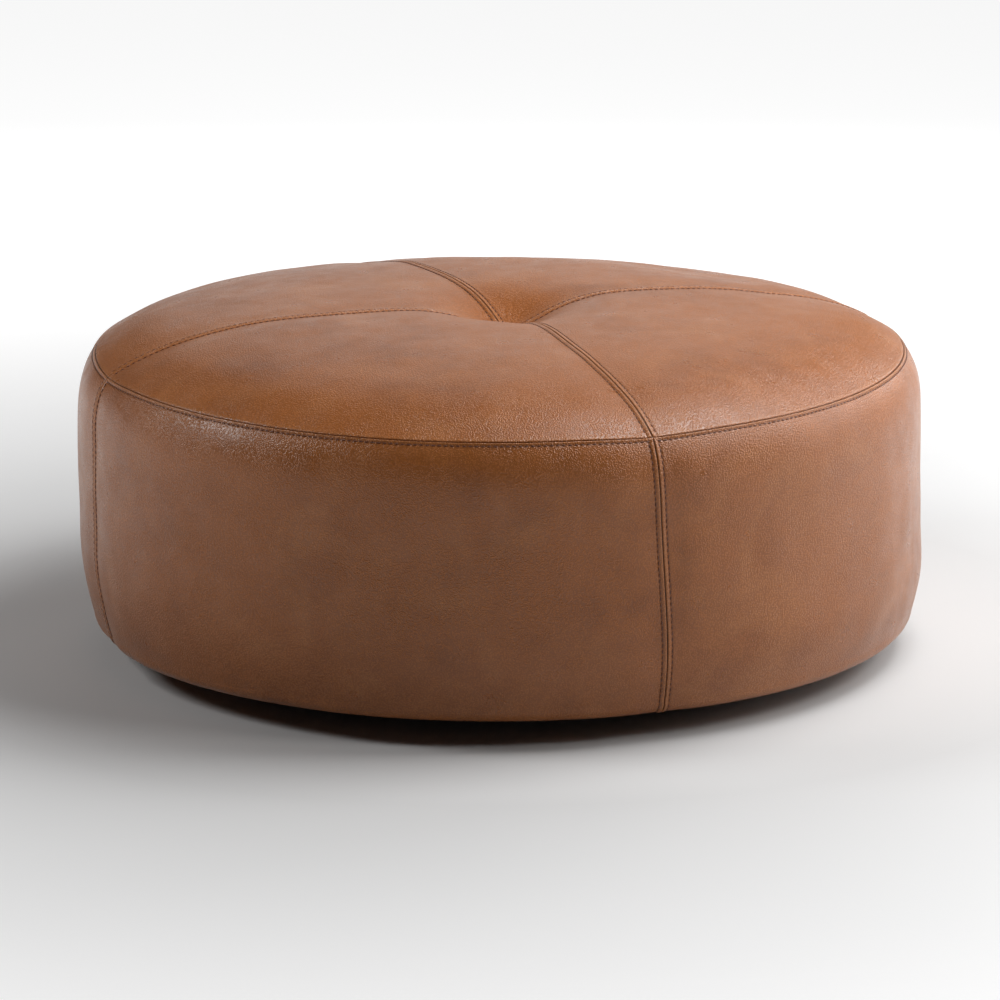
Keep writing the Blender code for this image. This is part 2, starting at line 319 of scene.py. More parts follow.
def top_point(theta, r, valley):
    """The top before its seams are pressed in: crown and dimple, swollen between the seams, with slack."""
    theta, r = np.broadcast_arrays(theta, r)
    z = RIM_HEIGHT + CROWN_RISE * crown_shape(r) - dimple(r) + packing(theta, r)
    calm = smooth((RIM_RADIUS - r) / (60 * MM)) * smooth(r / (60 * MM))
    swell = 1.6 * MM + 1.4 * MM * ridge(r, 95 * MM, 60 * MM)
    z = z + calm * swell
    for k in range(4):
        turn = theta - seam_angle(k, r)
        across = np.where(np.cos(turn) > 0, r * np.sin(turn), r)
        z = z - calm * (swell * 0.6 + 0.45 * valley) * ridge(across, 0, SEAM_HOLLOW)
    points = np.stack([r * np.cos(theta), r * np.sin(theta), z], axis=-1)
    uneven = 0.7 * MM * waves(points, BROAD_SWELL, 3) + 0.25 * MM * waves(points, FINE_SWELL, 4)
    points[..., 2] += calm * uneven
    pull = np.exp(-r / (30 * MM)) * smooth(r / (16 * MM))
    folds = np.sin(23 * theta + 1.1) + 0.8 * np.sin(37 * theta + 4.0) + 0.6 * np.sin(14 * theta + 2.2)
    points[..., 2] += 0.2 * MM * pull * folds
    return points + TUFT_SHIFT * ridge(r, 0, 140 * MM)[..., None]


def wall_outline():
    """Radius, height and distance from the rim of closely spaced points down the wall and under its edge."""
    foot = UNDERSIDE + EDGE_RADIUS
    z = np.linspace(RIM_HEIGHT, foot, 400)
    above = np.clip((z - WAIST_HEIGHT) / (RIM_HEIGHT - WAIST_HEIGHT), 0, None)
    below = np.clip((WALL_FOOT - z) / (WALL_FOOT - foot), 0, None)
    r = OUTER_RADIUS - (OUTER_RADIUS - RIM_RADIUS) * above**4 - EDGE_INSET * below**2
    corner = np.linspace(0, QUARTER, 30)[1:]
    r = np.concatenate([r, r[-1] - EDGE_RADIUS * (1 - np.cos(corner)), [TURN_IN_RADIUS]])
    z = np.concatenate([z, foot - EDGE_RADIUS * np.sin(corner), [UNDERSIDE]])
    distance = np.concatenate([[0], np.cumsum(np.hypot(np.diff(r), np.diff(z)))])
    return r, z, distance


WALL_R, WALL_Z, WALL_DISTANCE = wall_outline()


def wall_point(theta, down, valley):
    """The side before its seams are pressed in: the outline turned, drawn in along the seams, with slack."""
    theta, down = np.broadcast_arrays(theta, down)
    r = np.interp(down, WALL_DISTANCE, WALL_R)
    z = np.interp(down, WALL_DISTANCE, WALL_Z)
    fuller = np.clip(np.cos(theta - FULLER_SIDE), 0, 1)
    r = r + FULLER_FOOT * fuller * smooth((down - 190 * MM) / (70 * MM))
    deeper = 0.65 * smooth(down / (60 * MM)) + 0.5 * smooth((down - 220 * MM) / (80 * MM))
    for k in range(4):
        turn = half_turn(theta - side_seam(k, down))
        r = r - valley * (0.35 + deeper) * ridge(turn * OUTER_RADIUS, 0, SEAM_HOLLOW)
    z = z - RIM_SAG * slack_side(theta) * (1 - smooth(down / (150 * MM)))
    z = z - tug(theta) * (1 - smooth(down / (110 * MM)))
    points = np.stack([r * np.cos(theta), r * np.sin(theta), z], axis=-1)
    calm = smooth(down / (40 * MM)) * smooth((345 * MM - down) / (30 * MM))
    swell = calm * (0.9 * MM * waves(points, BROAD_SWELL, 5) + 0.4 * MM * waves(points, FINE_SWELL, 6))
    points[..., 0] += swell * np.cos(theta)
    points[..., 1] += swell * np.sin(theta)
    under = smooth((down - 312 * MM) / (20 * MM))
    pleats = np.clip(np.sin(46 * theta + 1.2 * np.sin(5 * theta)), -0.2, 1) + 0.5 * np.sin(111 * theta)
    points[..., 2] -= 0.7 * MM * under * pleats
    return points


def lip(distance, crest):
    """Height of a turned edge: quickly up to 1 at the crest, and slowly back down."""
    x = np.maximum(distance, 0) / crest
    return x * np.exp(1 - x)


def pressed_seam(s, height, stitch):
    """Height across a pressed-open seam at a distance from it: crease, lip and sunk stitch line."""
    crease = -CREASE_DEPTH * ridge(s, 0, CREASE_WIDTH)
    groove = -GROOVE_DEPTH * ridge(s, stitch, GROOVE_WIDTH)
    return crease + height * lip(s, LIP_CREST) + groove


def painted_seam_light(across, begun=1.0):
    """Painted light beside a seam at a distance from it: a pale painted highlight on the lip, dark painted
    shade in the crease, and painted shade where the stitches are sunk.
    """
    pale = 0.5 * ridge(across, 1.9 * MM, 1.3 * MM) + 0.6 * ridge(across, 1.0 * MM, 0.4 * MM)
    dark = ridge(across, 0, 0.7 * MM)
    sunk = 0.12 * ridge(across, 5.7 * MM, 1.2 * MM)
    return pale * begun, dark * begun, sunk * begun


def spokes(theta):
    """Level unit vectors in each direction."""
    return np.stack([np.cos(theta), np.sin(theta), 0 * theta], axis=-1)


def tucked(points, theta, turn_in):
    """The panel with each row moved inward and down by its turn-in, under the panel next to it."""
    inward, down = TUCK_ALONG
    way = np.stack([-inward * np.cos(theta), -inward * np.sin(theta), -down + 0 * theta], axis=-1)
    return points + way * turn_in[:, None, None]


def outward(points):
    """Unit normals of a grid whose rows run outward or down and whose columns run round."""
    along = np.gradient(points, axis=0)
    around = np.gradient(points, axis=1)
    normals = np.cross(along, around)
    return normals / np.maximum(np.linalg.norm(normals, axis=-1, keepdims=True), 1e-12)


# Stations across a seam: the first two lie down the turned-in allowance.
SEAM_STATIONS = MM * np.array(
    [0.2, 0.2, 0.25, 0.5, 0.8, 1.2, 1.7, 2.3, 3.0, 3.8, 4.6, 5.2, 5.7, 6.3, 7.1, 8.4, 10.5]
)
SEAM_DROP = np.zeros(len(SEAM_STATIONS))
SEAM_DROP[:2] = (6 * MM, 3 * MM)


def panel_columns(r, low, high, radius_scale):
    """Angles and seam distances of a panel's columns at each row: close beside both seams, even between."""
    low, high = low[:, None], high[:, None]
    stations = SEAM_STATIONS[None, :] * radius_scale[:, None]
    step = np.arcsin(np.clip(stations / r[:, None], 0, 0.7))
    share = np.linspace(0, 1, PANEL_COLUMNS + 2)[None, 1:-1]
    start, end = low + step[:, -1:], high - step[:, -1:]
    theta = np.concatenate([low + step, start + (end - start) * share, high - step[:, ::-1]], axis=1)
    distance = np.minimum(r[:, None] * np.abs(theta - low), r[:, None] * np.abs(high - theta))
    drop = np.concatenate([SEAM_DROP, np.zeros(PANEL_COLUMNS), SEAM_DROP[::-1]])
    return theta, distance, drop[None, :] * radius_scale[:, None]


def stitch_dips(along, across, settings):
    """Pits where the thread goes through, along a stitch line."""
    phase = np.cos(FULL_TURN * along / settings.stitch_pitch)
    line = ridge(across, settings.stitch_offset, PIT_WIDTH)
    return -GROOVE_DEPTH * line * smooth(0.5 + 0.9 * phase)


# ---------------- meshes


def smooth_mesh(name, points, faces):
    """A mesh of points and lists of faces, shaded smooth."""
    mesh = bpy.data.meshes.new(name)
    mesh.from_pydata(points.reshape(-1, 3).tolist(), [], faces)
    mesh.polygons.foreach_set("use_smooth", np.ones(len(mesh.polygons), bool))
    return mesh


def grid_mesh(name, points, shade=None):
    """A mesh of quads on a (rows, columns, 3) grid, with a value at each point for its material."""
    rows, columns = points.shape[:2]
    index = np.arange(rows * columns).reshape(rows, columns)
    faces = np.stack([index[:-1, :-1], index[1:, :-1], index[1:, 1:], index[:-1, 1:]], axis=-1)
    mesh = smooth_mesh(name, points, faces.reshape(-1, 4).tolist())
    if shade is not None:
        # For the leather these values are a painted highlight above 0 and painted shade below 0, along the
        # seams and rim.
        attribute = mesh.attributes.new("seam_highlight_and_shade", "FLOAT", "POINT")
        attribute.data.foreach_set("value", shade.astype(np.float32).ravel())
    return mesh


def add_piece(mesh, material, replaced=(), thickness=0.0):
    """Puts a finished mesh in the scene, riding on the body; an open surface is given its thickness inward."""
    piece = bpy.data.objects.new(mesh.name, mesh)
    bpy.context.scene.collection.objects.link(piece)
    mesh.materials.append(material)
    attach(piece, BODY)
    if replaced:
        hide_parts(*replaced)
    if thickness:
        solidify = piece.modifiers.new("Thickness", "SOLIDIFY")
        solidify.thickness = thickness
        solidify.offset = -1.0
    return piece


def closed_ring(name, points):
    """A closed tube or ring: a grid whose rows and columns both join up at their ends."""
    rows, columns = points.shape[:2]
    index = np.arange(rows * columns).reshape(rows, columns)
    on, round_ = np.roll(index, -1, axis=0), np.roll(index, -1, axis=1)
    both = np.roll(on, -1, axis=1)
    faces = np.stack([index, on, both, round_], axis=-1)
    return smooth_mesh(name, points, faces.reshape(-1, 4).tolist())


def plied_cord(path, radius, sides, plies, lay):
    """A plied cord round a closed path: the section's radius swells by 0.16 cos along each ply's spiral."""
    ahead = np.roll(path, -1, axis=0) - np.roll(path, 1, axis=0)
    ahead /= np.linalg.norm(ahead, axis=1, keepdims=True)
    out = np.cross(ahead, np.array([1.0, 0.0, 0.0]))
    out /= np.linalg.norm(out, axis=1, keepdims=True)
    over = np.cross(out, ahead)
    angle = np.linspace(0, FULL_TURN, sides, endpoint=False)
    spiral = np.arange(len(path))[:, None] * lay * FULL_TURN / len(path)
    size = radius * (1 + 0.16 * np.cos(plies * angle[None, :] - spiral))
    return (
        path[:, None, :]
        + (size * np.cos(angle))[..., None] * out[:, None, :]
        + (size * np.sin(angle))[..., None] * over[:, None, :]
    )


def spindles(name, centres, along, normals, length, width):
    """Short lengths of thread or wire: one rounded, slightly arched spindle for each centre and direction."""
    rings, sides = 5, 6
    t = np.linspace(-1, 1, rings)
    profile = np.sqrt(np.clip(1 - np.abs(t) ** 2.6, 0.02, 1))
    angle = np.linspace(0, FULL_TURN, sides, endpoint=False)
    side = np.cross(normals, along)
    half, width = length / 2, width / 2
    arch = 0.5 * width * (1 - t**2) - 0.4 * width
    local_along = half * t[:, None] + 0 * angle[None, :]
    local_side = width * profile[:, None] * np.cos(angle)[None, :]
    local_up = 0.8 * width * profile[:, None] * np.sin(angle)[None, :] + arch[:, None]
    points = (
        centres[:, None, None, :]
        + local_along[None, :, :, None] * along[:, None, None, :]
        + local_side[None, :, :, None] * side[:, None, None, :]
        + local_up[None, :, :, None] * normals[:, None, None, :]
    )
    count = len(centres)
    index = np.arange(rings * sides).reshape(rings, sides)
    turned = np.roll(index, -1, axis=1)
    quads = np.stack([index[:-1], turned[:-1], turned[1:], index[1:]], axis=-1).reshape(-1, 4)
    shift = (np.arange(count) * rings * sides)[:, None, None]
    faces = (quads[None] + shift).reshape(-1, 4).tolist()
    for cap in (index[0, ::-1], index[-1]):
        faces += (cap[None, :] + shift[:, 0]).tolist()
    return smooth_mesh(name, points, faces)


# ---------------- materials


def new_material(name, roughness, metallic=0.0):
    """A material with its tree, its shader and the place on the object that its patterns read."""
    material = bpy.data.materials.new(name)
    material.use_nodes = True
    shader = material.node_tree.nodes["Principled BSDF"]
    shader.inputs["Roughness"].default_value = roughness
    shader.inputs["Metallic"].default_value = metallic
    place = node(material.node_tree, "ShaderNodeTexCoord").outputs["Object"]
    return material, material.node_tree, shader, place


def node(tree, kind, **values):
    """A node of a kind, with its sockets and settings given by name."""
    made = tree.nodes.new(kind)
    for name, value in values.items():
        label = name.replace("_", " ").title()
        if label in made.inputs:
            made.inputs[label].default_value = value
        else:
            setattr(made, name, value)
    return made


def noise(tree, place, scale, detail, distortion=0.0):
    """Soft noise at a place."""
    made = node(tree, "ShaderNodeTexNoise", scale=scale, detail=detail, distortion=distortion)
    tree.links.new(place, made.inputs["Vector"])
    return made.outputs["Fac"]


def ramp(tree, source, low, high, out_low=0.0, out_high=1.0):
    """The source's range from low to high, stretched to another range and clamped there."""
    made = node(tree, "ShaderNodeMapRange")
    for name, value in (("From Min", low), ("From Max", high), ("To Min", out_low), ("To Max", out_high)):
        made.inputs[name].default_value = value
    tree.links.new(source, made.inputs["Value"])
    return made.outputs["Result"]


def feed(tree, socket, value):
    """Puts a colour or a number in a socket, or links another node's output to it."""
    if isinstance(value, bpy.types.NodeSocket):
        tree.links.new(value, socket)
    elif socket.type == "RGBA" and len(value) == 3:
        socket.default_value = (*value, 1.0)
    else:
        socket.default_value = value


def mix(tree, factor, first, second, blend="MIX"):
    """One colour over another, by a factor."""
    made = node(tree, "ShaderNodeMix", data_type="RGBA", blend_type=blend)
    for socket, value in ((0, factor), (6, first), (7, second)):
        feed(tree, made.inputs[socket], value)
    return made.outputs[2]


def maths(tree, kind, *values):
    """Sum, product or other maths of sockets and numbers."""
    made = node(tree, "ShaderNodeMath", operation=kind)
    for socket, value in enumerate(values):
        feed(tree, made.inputs[socket], value)
    return made.outputs[0]


def stretched(tree, place, scale):
    """The place, squeezed or stretched along each axis."""
    made = node(tree, "ShaderNodeMapping", scale=scale)
    tree.links.new(place, made.inputs["Vector"])
    return made.outputs["Vector"]


def bumped(tree, shader, height, distance, strength=1.0):
    """Gives the shader a relief of a height from 0 to 1, this deep."""
    bump = node(tree, "ShaderNodeBump", strength=strength, distance=distance)
    tree.links.new(height, bump.inputs["Height"])
    tree.links.new(bump.outputs["Normal"], shader.inputs["Normal"])


def bands(tree, place, axis, pitch):
    """Waves from 0 to 1 along one axis, this far apart."""
    made = node(tree, "ShaderNodeTexWave", wave_type="BANDS", bands_direction=axis, scale=0.314 / pitch)
    tree.links.new(place, made.inputs["Vector"])
    return made.outputs["Fac"]


def paint(tree, shader, colour):
    """Gives the shader its colour from another node."""
    tree.links.new(colour, shader.inputs["Base Color"])


def leather_material(settings):
    """Pebbled leather: mottled browns, a painted highlight on the seam lips and rim, painted shade in the
    creases and stitch lines, and a rounded grain.
    """
    made = bpy.data.materials.get("cognac_leather")
    if made:
        return made
    material, tree, shader, place = new_material("cognac_leather", 0.42)
    shader.inputs["Sheen Weight"].default_value = 0.05

    patches = ramp(tree, noise(tree, place, 7.0, 3.0, 0.6), 0.38, 0.66)
    clouds = ramp(tree, noise(tree, place, 24.0, 4.0, 0.4), 0.32, 0.72)
    both = maths(tree, "MULTIPLY", patches, clouds)
    base = mix(tree, both, settings.leather_colour, settings.leather_dark)
    warm = ramp(tree, noise(tree, place, 13.0, 3.0, 0.8), 0.50, 0.78, 0.0, 0.35)
    base = mix(tree, warm, base, settings.leather_pale_and_highlight)
    # Painted highlight: where the seam attribute is above 0, on the seam lips and along the rim, the leather
    # turns to the paler colour.
    seam_highlight_and_shade = node(tree, "ShaderNodeAttribute", attribute_name="seam_highlight_and_shade").outputs["Fac"]
    base = mix(tree, ramp(tree, seam_highlight_and_shade, 0.0, 1.0, 0.0, 0.7), base, settings.leather_pale_and_highlight)
    # Painted shade: where the seam attribute is below 0, in the seam and rim creases and along the stitch
    # lines, the leather turns to a fifth of its darker shade.
    crease = tuple(0.2 * c for c in settings.leather_dark)
    base = mix(tree, ramp(tree, seam_highlight_and_shade, -1.0, 0.0, 0.92, 0.0), base, crease)

    warp = node(tree, "ShaderNodeTexNoise", scale=220.0, detail=2.0)
    tree.links.new(place, warp.inputs["Vector"])
    push = node(tree, "ShaderNodeVectorMath", operation="SCALE")
    push.inputs["Scale"].default_value = 1.1 * MM
    tree.links.new(warp.outputs["Color"], push.inputs[0])
    moved = node(tree, "ShaderNodeVectorMath", operation="ADD")
    tree.links.new(place, moved.inputs[0])
    tree.links.new(push.outputs["Vector"], moved.inputs[1])
    scale = 1 / settings.grain_size
    pebbles = node(tree, "ShaderNodeTexVoronoi", feature="SMOOTH_F1", scale=scale, smoothness=0.25)
    tree.links.new(moved.outputs["Vector"], pebbles.inputs["Vector"])
    tops = ramp(tree, pebbles.outputs["Distance"], 0.64, 0.12)
    fine = maths(tree, "MULTIPLY", noise(tree, place, 900.0, 2.0), 0.3)
    grain = maths(tree, "ADD", tops, fine)
    strength = ramp(tree, noise(tree, place, 30.0, 2.0), 0.3, 0.7, 0.55, 1.0)
    creases = maths(tree, "MULTIPLY", noise(tree, place, 70.0, 5.0, 1.2), 0.6)
    height = maths(tree, "MULTIPLY_ADD", grain, strength, creases)
    bumped(tree, shader, height, 0.4 * MM)

    shade = ramp(tree, tops, 0.05, 0.75, 0.76, 1.05)
    paint(tree, shader, mix(tree, 1.0, base, shade, "MULTIPLY"))
    gloss = ramp(tree, noise(tree, place, 40.0, 3.0), 0.3, 0.7, 0.27, 0.38)
    tree.links.new(gloss, shader.inputs["Roughness"])
    return material


def thread_material(settings):
    """Bonded thread: fine twisted strands with a low sheen."""
    material, tree, shader, place = new_material("bonded_thread", 0.45)
    strands = noise(tree, place, 1500.0, 2.0)
    light = tuple(min(1.0, 1.8 * c) for c in settings.thread_colour)
    paint(tree, shader, mix(tree, strands, settings.thread_colour, light))
    bumped(tree, shader, strands, 0.1 * MM, 0.6)
    return material


def fibre_material(name, colour, shade, scale, roughness, relief):
    """Tangled fibres or cells: two tones over a soft uneven relief, at two sizes."""
    material, tree, shader, place = new_material(name, roughness)
    coarse = ramp(tree, noise(tree, place, scale, 6.0, 1.5), 0.3, 0.7)
    tufts = ramp(tree, noise(tree, place, 40.0, 3.0), 0.35, 0.7)
    tone = maths(tree, "MULTIPLY", coarse, maths(tree, "MULTIPLY_ADD", tufts, 0.5, 0.5))
    paint(tree, shader, mix(tree, tone, colour, shade))
    bumped(tree, shader, coarse, relief)
    shader.inputs["Sheen Weight"].default_value = 0.2
    return material


def foam_material():
    """Cut foam: pale yellow with open cells about a millimetre wide, with painted shade in each cell's hollow
    middle.
    """
    material, tree, shader, place = new_material("cut_foam", 0.9)
    cells = node(tree, "ShaderNodeTexVoronoi", feature="F1", scale=700.0)
    tree.links.new(place, cells.inputs["Vector"])
    walls = ramp(tree, cells.outputs["Distance"], 0.1, 0.6)
    age = ramp(tree, noise(tree, place, 6.0, 4.0), 0.35, 0.7)
    base = mix(tree, age, (0.80, 0.72, 0.50), (0.72, 0.60, 0.36))
    # Painted shade: the darker brown lies in the hollow middle of each cell.
    paint(tree, shader, mix(tree, walls, (0.45, 0.36, 0.2), base))
    bumped(tree, shader, walls, 0.5 * MM)
    return material


def weave_material(name, colour, shade, pitch, roughness, stripe=None):
    """Woven tape or cloth: warp and weft ribs crossing, with slubs, and a stripe where it has one."""
    material, tree, shader, place = new_material(name, roughness)
    warp, weft = bands(tree, place, "X", pitch), bands(tree, place, "Y", pitch)
    cloth = maths(tree, "MAXIMUM", warp, weft)
    slubs = ramp(tree, noise(tree, place, 0.25 / pitch, 4.0, 0.5), 0.3, 0.7)
    tone = mix(tree, maths(tree, "MULTIPLY", cloth, slubs), shade, colour)
    if stripe:
        line = ramp(tree, bands(tree, place, "X", 24 * MM), 0.86, 0.92)
        tone = mix(tree, line, tone, stripe)
    paint(tree, shader, tone)
    bumped(tree, shader, maths(tree, "MULTIPLY_ADD", slubs, 0.4, cloth), 0.25 * pitch)
    return material


def wood_material(name, light, dark, plies=False):
    """Sawn wood with long grain, or plywood with its plies showing as bands in the thickness."""
    material, tree, shader, place = new_material(name, 0.62)
    long_grain = (1.0, 9.0, 9.0) if plies else (9.0, 9.0, 1.0)
    grain = noise(tree, stretched(tree, place, long_grain), 12.0, 8.0, 1.5)
    pores = noise(tree, stretched(tree, place, tuple(6 * g for g in long_grain)), 30.0, 3.0)
    tone = mix(tree, ramp(tree, grain, 0.35, 0.68), light, dark)
    tone = mix(tree, ramp(tree, pores, 0.58, 0.7, 0.0, 0.5), tone, tuple(0.5 * c for c in dark))
    if plies:
        layer = ramp(tree, bands(tree, place, "Z", 3 * MM), 0.35, 0.65, 0.0, 0.45)
        tone = mix(tree, layer, tone, dark)
    paint(tree, shader, tone)
    tree.links.new(ramp(tree, grain, 0.3, 0.7, 0.5, 0.72), shader.inputs["Roughness"])
    bumped(tree, shader, maths(tree, "ADD", grain, pores), 0.15 * MM)
    return material


def hard_material(name, colour, shade, roughness, metallic, scale, relief):
    """Moulded plastic or plated steel: a fine grain with faint cloudiness in colour and gloss."""
    material, tree, shader, place = new_material(name, roughness, metallic)
    cloud = ramp(tree, noise(tree, place, 35.0, 3.0), 0.35, 0.7)
    fine = noise(tree, place, scale, 3.0)
    paint(tree, shader, mix(tree, cloud, colour, shade))
    tree.links.new(ramp(tree, cloud, 0.0, 1.0, roughness - 0.06, roughness + 0.1), shader.inputs["Roughness"])
    bumped(tree, shader, fine, relief)
    return material


def floor_material():
    """Matt light-table floor: pale grey round the object and softly lit from below further out."""
    material, tree, shader, place = new_material("studio_floor", 0.85)
    tone = ramp(tree, noise(tree, place, 1.5, 3.0), 0.3, 0.7)
    darker = tuple(0.98 * c for c in FLOOR_TONE)
    paint(tree, shader, mix(tree, tone, FLOOR_TONE, darker))
    reach = node(tree, "ShaderNodeVectorMath", operation="LENGTH")
    tree.links.new(place, reach.inputs[0])
    glow = ramp(tree, reach.outputs["Value"], *FLOOR_GLOW_REACH, 0.0, FLOOR_GLOW)
    shader.inputs["Emission Color"].default_value = (1.0, 1.0, 1.0, 1.0)
    tree.links.new(glow, shader.inputs["Emission Strength"])
    shader.inputs["Specular IOR Level"].default_value = 0.1
    return material


# ---------------- operators


class OTTOMAN_OT_top(bpy.types.Operator):
    """The four top panels of leather, domed, pulled down in the middle and pressed along their seams"""

    bl_idname = "ottoman.top"
    bl_label = "Top Leather"

    def execute(self, context):
        settings = context.scene.ottoman
        leather = leather_material(settings)
        edge = np.array([0.15, 0.35, 0.6, 0.95, 1.4, 2.0, 2.8, 3.8, 5.0, 6.4, 8.0]) * MM
        tip = [0.6 * MM, 1.2 * MM, 2.2 * MM, 3.4 * MM, 5 * MM]
        r = np.concatenate([tip, np.arange(6.5 * MM, RIM_RADIUS - 9 * MM, 2 * MM)])
        r = np.concatenate([r, RIM_RADIUS - edge[::-1], [RIM_RADIUS - edge[0]] * 2])
        turn_in = np.zeros(len(r))
        turn_in[-2:] = TUCK
        scale = np.clip(r / TIP, 0.03, 1.0)
        for k in range(4):
            theta, across, drop = panel_columns(r, seam_angle(k, r), seam_angle(k + 1, r), scale)
            base = top_point(theta, r[:, None], settings.valley_depth)
            normals = outward(base[:-2])
            normals = np.concatenate([normals, normals[-1:], normals[-1:]])
            inside = smooth((RIM_RADIUS - r) / (5 * MM))[:, None]
            size = scale[:, None]
            height = pressed_seam(across / size, settings.lip_height, settings.stitch_offset)
            height = height * size * (0.35 + 0.65 * inside)
            fading = smooth((r / (30 * MM)) - 0.5)[:, None]
            height += stitch_dips(r[:, None], across / size, settings) * fading
            from_rim = (RIM_RADIUS - r)[:, None]
            height += 0.35 * MM * lip(from_rim, 2.6 * MM) - 1.5 * MM * ridge(from_rim, 0, 0.8 * MM)
            points = tucked(base + normals * (height - drop)[..., None], theta, turn_in)
            points[0, :, 2] -= 4 * MM
            points[1, :, 2] -= 2 * MM
            shade = self.shade(across / size, from_rim)
            mesh = grid_mesh(f"leather_top_{k + 1}", points, shade)
            add_piece(mesh, leather, [f"top_panel_{k + 1}"], LEATHER)
        return {"FINISHED"}

    @staticmethod
    def shade(across, from_rim):
        """Painted highlight and shade: above 0 for a painted highlight where the leather goes over a lip or
        rolls at the rim, below 0 for painted shade down in a crease and at the stitches.
        """
        pale, dark, sunk = painted_seam_light(across)
        pale = np.maximum(pale, 0.35 * ridge(from_rim, 2.5 * MM, 1.8 * MM))
        dark = dark + ridge(from_rim, 0, 0.7 * MM)
        return pale - np.minimum(dark, 1) - sunk


class OTTOMAN_OT_side(bpy.types.Operator):
    """The four side panels of leather, with the turned lip along the rim and the edge turned in below"""

    bl_idname = "ottoman.side"
    bl_label = "Side Leather"

    def execute(self, context):
        settings = context.scene.ottoman
        leather = leather_material(settings)
        near = np.array([0.15, 0.35, 0.6, 0.95, 1.4, 2.0, 2.7, 3.4, 4.1, 4.7, 5.2, 5.8, 6.6, 7.8, 9.4]) * MM
        even = np.arange(11.5 * MM, WALL_DISTANCE[-1], 2.1 * MM)
        down = np.concatenate([[near[0]] * 2, near, even, WALL_DISTANCE[-1:]])
        turn_in = np.zeros(len(down))
        turn_in[:2] = TUCK[::-1]
        r = np.interp(down, WALL_DISTANCE, WALL_R)
        scale = np.ones(len(down))
        for k in range(4):
            edges = (side_seam(k, down), side_seam(k + 1, down))
            theta, across, drop = panel_columns(np.full(len(down), OUTER_RADIUS), *edges, scale)
            across = across * (r / OUTER_RADIUS)[:, None]
            base = wall_point(theta, down[:, None], settings.valley_depth)
            normals = outward(base[2:])
            normals = np.concatenate([normals[:1], normals[:1], normals])
            from_rim = down[:, None]
            begun = smooth((from_rim - 0.8 * MM) / (3.5 * MM))
            height = pressed_seam(across, settings.lip_height, settings.stitch_offset) * begun
            height += stitch_dips(from_rim, across, settings) * begun
            away = smooth((across - 0.5 * MM) / (3 * MM))
            rim_lip = 0.85 * MM * lip(from_rim, 1.0 * MM) - 1.6 * MM * ridge(from_rim, 0, CREASE_WIDTH)
            rim_groove = -GROOVE_DEPTH * ridge(from_rim, RIM_STITCH, GROOVE_WIDTH)
            height += rim_lip + rim_groove * away
            points = tucked(base + normals * (height - drop)[..., None], theta, turn_in)
            shade = self.shade(across, from_rim, begun)
            mesh = grid_mesh(f"leather_side_{k + 1}", points, shade)
            add_piece(mesh, leather, [f"side_panel_{k + 1}"], LEATHER)
        return {"FINISHED"}

    @staticmethod
    def shade(across, from_rim, begun):
        """Painted highlight and shade: above 0 for a painted highlight where the leather goes over a lip,
        below 0 for painted shade down in a crease and at the stitches.
        """
        pale, dark, sunk = painted_seam_light(across, begun)
        pale = np.maximum(pale, ridge(from_rim, 1.1 * MM, 0.6 * MM))
        dark = dark + ridge(from_rim, 0, 0.5 * MM)
        sunk = np.maximum(sunk, 0.15 * ridge(from_rim, RIM_STITCH, 1.2 * MM))
        return pale - np.minimum(dark, 1) - sunk


class OTTOMAN_OT_thread(bpy.types.Operator):
    """The stitches: two lines beside every top and side seam, and one below the rim"""

    bl_idname = "ottoman.thread"
    bl_label = "Stitches"

    def execute(self, context):
        settings = context.scene.ottoman
        thread = thread_material(settings)
        pitch, offset = settings.stitch_pitch, settings.stitch_offset
        tops = np.arange(14 * MM, RIM_RADIUS - 3 * MM, pitch)
        downs = np.arange(9 * MM, WALL_DISTANCE[-1] - 18 * MM, pitch)
        for k in range(4):
            rows = []
            for side in (1, -1):
                scale = np.clip(tops / TIP, 0.3, 1)
                theta = seam_angle(k, tops) + side * np.arcsin(offset * scale / tops)
                rows.append(self.row(top_point, theta, tops, settings))
            self.add(f"thread_top_seam_{k + 1}", rows, thread, settings)
            rows = []
            for side in (1, -1):
                theta = side_seam(k, downs) + side * offset / OUTER_RADIUS
                rows.append(self.row(wall_point, theta, downs, settings))
            self.add(f"thread_side_seam_{k + 1}", rows, thread, settings)
        count = round(FULL_TURN * RIM_RADIUS / pitch)
        theta = np.arange(count) * FULL_TURN / count
        row = self.row(wall_point, theta, np.full(count, RIM_STITCH), settings, around=True)
        self.add("thread_rim", [row], thread, settings)
        return {"FINISHED"}

    @staticmethod
    def row(surface, theta, distance, settings, around=False):
        """Centres, directions and normals of stitches on a surface, half sunk in their groove."""
        step = 0.5 * MM
        valley = settings.valley_depth
        centre = surface(theta, distance, valley)
        onward = surface(theta, distance + step, valley) - centre
        sideways = surface(theta + step / RIM_RADIUS, distance, valley) - centre
        normal = np.cross(onward, sideways)
        normal /= np.linalg.norm(normal, axis=-1, keepdims=True)
        along = sideways if around else onward
        along /= np.linalg.norm(along, axis=-1, keepdims=True)
        return centre + 0.3 * MM * normal, along, normal

    @staticmethod
    def add(name, rows, thread, settings):
        """Puts rows of stitches in the scene as one piece."""
        centres, along, normals = (np.concatenate(parts) for parts in zip(*rows))
        mesh = spindles(name, centres, along, normals, settings.stitch_length, settings.thread_width)
        add_piece(mesh, thread)


